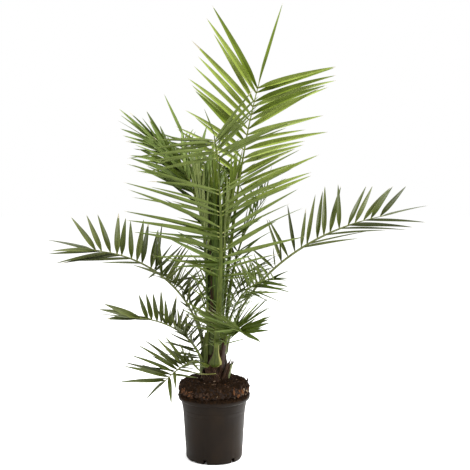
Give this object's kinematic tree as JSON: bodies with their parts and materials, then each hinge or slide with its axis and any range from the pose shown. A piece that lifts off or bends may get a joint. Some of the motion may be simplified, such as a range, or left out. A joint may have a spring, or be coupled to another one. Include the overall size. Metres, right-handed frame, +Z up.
{
  "type": "potted canary island date palm",
  "caption": "Young feather palm with stiff arching fronds on a short fibrous trunk, in a round black nursery pot filled with a mounded root ball.",
  "frame": {"origin": "centre of the flat underside of the pot", "axes": "+Z up through the pot, +X towards the right of the picture, +Y away from its camera"},
  "size_m": [1.1632, 0.6629, 1.3735],
  "materials": {
    "pot_plastic": "satin black recycled plastic",
    "soil": "damp dark bark and peat",
    "trunk_fibre": "brown leaf-base fibre",
    "cut_stub": "pale cut leaf base, torn brown at the end",
    "young_frond": "bright green young leaflets",
    "frond": "satin mid green leaflets",
    "old_frond": "dull dark green leaflets"
  },
  "bodies": {
    "root": {"pot": "pot_plastic", "soil": "soil", "trunk": "trunk_fibre", "cut_stub": "cut_stub", "frond_tall": "young_frond", "frond_front": "frond", "frond_left_high": "frond", "frond_back_left": "frond", "frond_back": "frond", "frond_back_right": "frond", "frond_back_low_left": "old_frond", "frond_back_low_right": "old_frond", "frond_inner_left": "young_frond", "frond_inner_right": "young_frond", "frond_left_arch": "old_frond", "frond_right_arch": "old_frond", "frond_left_low": "old_frond", "frond_left_foot": "old_frond", "frond_near_right": "old_frond", "frond_right_mid": "old_frond", "spear": "young_frond"}
  },
  "joints": []
}
